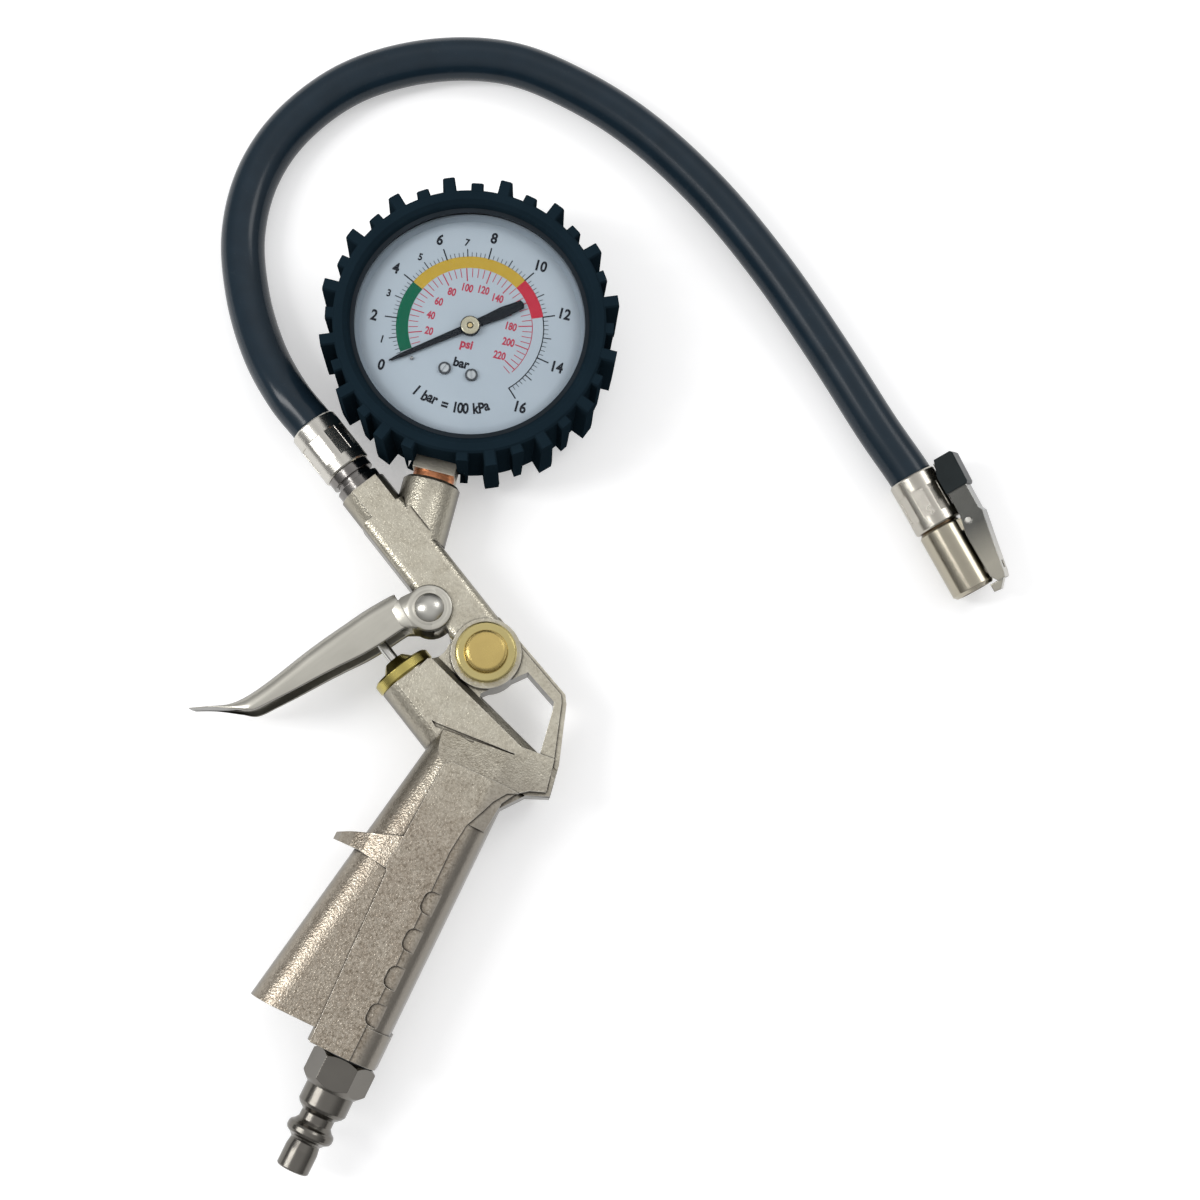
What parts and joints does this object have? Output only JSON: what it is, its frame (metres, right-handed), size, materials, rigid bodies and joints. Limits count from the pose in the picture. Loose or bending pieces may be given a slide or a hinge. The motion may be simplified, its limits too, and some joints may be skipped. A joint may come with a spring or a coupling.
{
  "type": "tyre inflator with gauge",
  "caption": "Pistol-grip tyre inflator: squeeze trigger, bleed button, dial gauge in a treaded rubber boot, quick-connect inlet, flexible hose and clip-on valve chuck.",
  "frame": {"origin": "centre of the flat closed back of the gauge's rubber boot, which lies on the surface", "axes": "+Z out of the gauge face, which is up; -Y along the inlet plug, away from the grip; the tool lies on its side on z = 0"},
  "size_m": [0.232, 0.2902, 0.031],
  "materials": {
    "cast_metal": "satin nickel plated die casting, fine pebbled sides",
    "plug_steel": "dark nickel plated turned steel",
    "black_rubber": "matt black rubber",
    "brass": "turned brass",
    "button_brass": "polished brass",
    "stem_steel": "bright steel",
    "trigger_steel": "satin nickel plated pressed sheet",
    "rivet_steel": "polished rivet",
    "copper": "copper washer",
    "case_steel": "black enamelled steel",
    "lens": "clear window",
    "dial_face": "white printed dial",
    "screw_steel": "small steel screws",
    "pointer_black": "black painted needle",
    "boot_rubber": "satin moulded rubber",
    "nipple_steel": "dark polished fitting",
    "ferrule_nickel": "bright nickel plated sleeve with crimp marks",
    "hose_rubber": "glossy black rubber",
    "chuck_nickel": "nickel plated, semi bright",
    "cap_plastic": "soft black plastic"
  },
  "bodies": {
    "body": {"body_casting": "cast_metal", "inlet_plug": "plug_steel", "inlet_seal": "black_rubber", "gland_nut": "brass", "stem_oring": "black_rubber", "valve_seat": "brass", "valve_spring": "stem_steel", "bleed_bush": "button_brass", "bleed_spring": "stem_steel", "gauge_socket": "brass", "gauge_washer": "copper", "gauge_case": "case_steel", "gauge_bezel": "case_steel", "lens_gasket": "black_rubber", "gauge_lens": "lens", "gauge_dial": "dial_face", "dial_screws": "screw_steel", "movement_plates": "brass", "bourdon_tube": "brass", "tube_link": "brass", "hairspring": "stem_steel", "gauge_boot": "boot_rubber", "hose_nipple": "nipple_steel", "ferrule_body": "ferrule_nickel", "hose": "hose_rubber", "ferrule_chuck": "ferrule_nickel", "chuck_tail": "brass", "chuck_body": "chuck_nickel", "chuck_seal": "black_rubber", "chuck_core_pin": "brass", "clip_pin": "stem_steel", "clip_spring": "stem_steel"},
    "trigger": {"trigger": "trigger_steel", "trigger_pin": "rivet_steel"},
    "valve": {"valve_stem": "stem_steel", "poppet_seal": "black_rubber"},
    "bleed": {"bleed_button": "button_brass", "bleed_seal": "black_rubber"},
    "pointer": {"pointer": "pointer_black", "pinion_shaft": "brass"},
    "sector": {"sector_gear": "brass"},
    "clip": {"chuck_clip": "chuck_nickel", "clip_cap": "cap_plastic"}
  },
  "joints": [
    {"name": "trigger_pivot", "type": "hinge", "parent": "body", "child": "trigger", "pos_m": [0.02244, -0.06894, 0.0125], "axis": [0, 0, 1], "range_deg": [0, 14], "stiffness_Nm_per_rad": 0.42, "springref_deg": -9.74},
    {"name": "valve_slide", "type": "slide", "parent": "body", "child": "valve", "axis": [0.8988, -0.4384, 0], "range_m": [0, 0.0036], "deforming": ["valve_spring"]},
    {"name": "bleed_press", "type": "slide", "parent": "body", "child": "bleed", "axis": [0, 0, -1], "range_m": [0, 0.0015], "stiffness_N_per_m": 900, "springref_m": -0.002, "deforming": ["bleed_spring"]},
    {"name": "sector_turn", "type": "hinge", "parent": "body", "child": "sector", "pos_m": [-0.00554, -0.01092, 0.0153], "axis": [0, 0, 1], "range_deg": [0, 43.7], "stiffness_Nm_per_rad": 0.0005, "springref_deg": -5.73, "deforming": ["tube_link", "bourdon_tube"]},
    {"name": "pointer_turn", "type": "hinge", "parent": "body", "child": "pointer", "pos_m": [0, 0, 0.025], "axis": [0, 0, -1], "range_deg": [0, 262.5], "deforming": ["hairspring"]},
    {"name": "clip_pivot", "type": "hinge", "parent": "body", "child": "clip", "pos_m": [0.13815, 0.01548, 0.0098], "axis": [-0.2502, -0.3406, 0.9063], "range_deg": [0, 5], "stiffness_Nm_per_rad": 0.05, "springref_deg": -17.19}
  ],
  "couplings": [
    {"joint": "valve_slide", "follows": "trigger_pivot", "m_per_rad": 0.0145},
    {"joint": "pointer_turn", "follows": "sector_turn", "ratio": 6}
  ]
}
